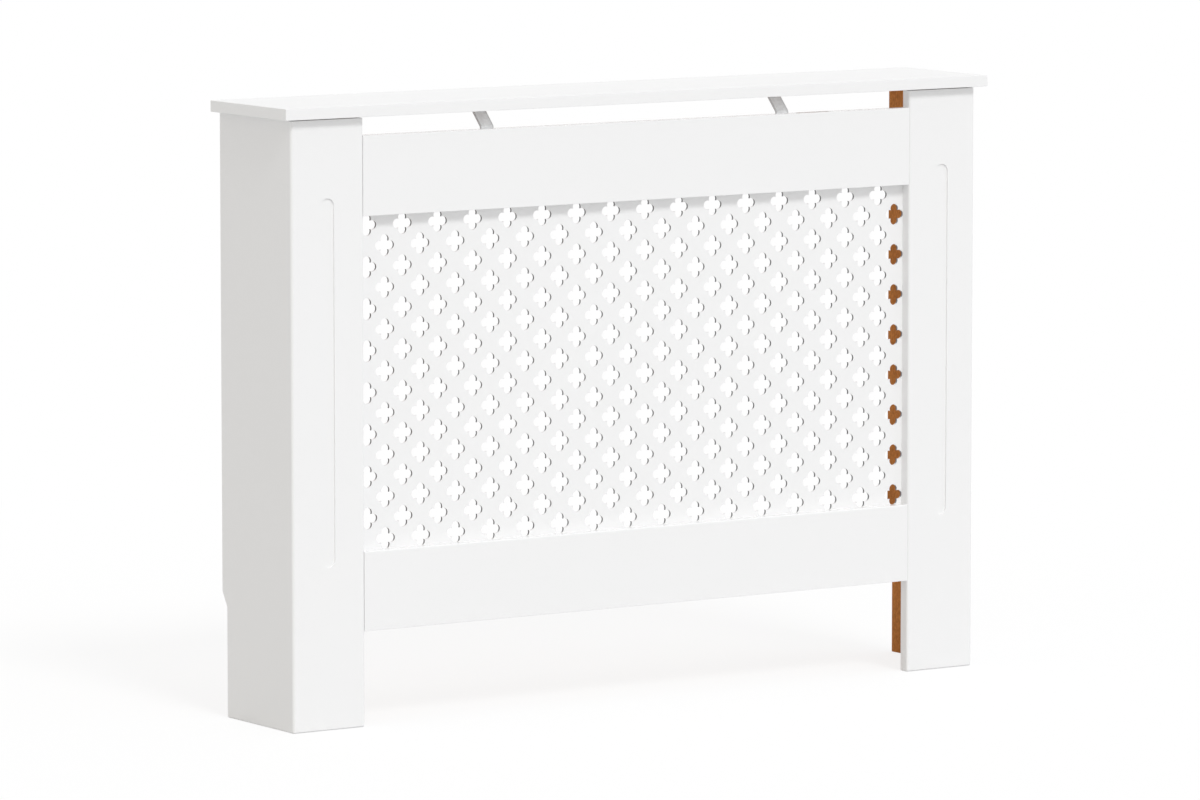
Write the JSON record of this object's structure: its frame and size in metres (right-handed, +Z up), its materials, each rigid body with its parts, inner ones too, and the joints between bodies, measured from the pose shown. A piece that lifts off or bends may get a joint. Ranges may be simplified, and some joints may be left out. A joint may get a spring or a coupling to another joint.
{
  "type": "radiator cover cabinet",
  "caption": "White radiator cover cabinet: a shelf on side panels, with a front frame of fluted posts and rails round a perforated sheet, open at the back and at the foot.",
  "frame": {"origin": "on the floor, under the middle of the cover's bounding box", "axes": "+X to the right along the front as seen from the room, +Y back towards the wall, +Z up"},
  "size_m": [1.12, 0.19, 0.815],
  "materials": {
    "white_board": "satin white paint on medium-density fibreboard, bare brown fibreboard on the hidden faces",
    "white_sheet": "satin white paint on thin high-density fibreboard, with grey-brown cut edges",
    "galvanised_steel": "galvanised, dull",
    "zinc_screw": "zinc plated, semi-gloss",
    "dowel_wood": "bare beech"
  },
  "bodies": {
    "root": {"top_shelf": "white_board", "side_panel_left": "white_board", "side_panel_right": "white_board", "front_post_left": "white_board", "front_post_right": "white_board", "upper_rail": "white_board", "lower_rail": "white_board", "grille_panel": "white_sheet", "support_strap_left": "galvanised_steel", "support_strap_right": "galvanised_steel", "joiner_plate_upper_left": "galvanised_steel", "joiner_plate_upper_right": "galvanised_steel", "joiner_plate_lower_left": "galvanised_steel", "joiner_plate_lower_right": "galvanised_steel", "shelf_bracket_left_front": "galvanised_steel", "shelf_bracket_left_rear": "galvanised_steel", "shelf_bracket_right_front": "galvanised_steel", "shelf_bracket_right_rear": "galvanised_steel", "wall_bracket_left": "galvanised_steel", "wall_bracket_right": "galvanised_steel", "strap_screws": "zinc_screw", "plate_screws": "zinc_screw", "shelf_bracket_screws": "zinc_screw", "wall_bracket_screws": "zinc_screw", "grille_screws": "zinc_screw", "corner_dowels": "dowel_wood", "rail_dowels": "dowel_wood", "shelf_dowels": "dowel_wood"}
  },
  "joints": []
}
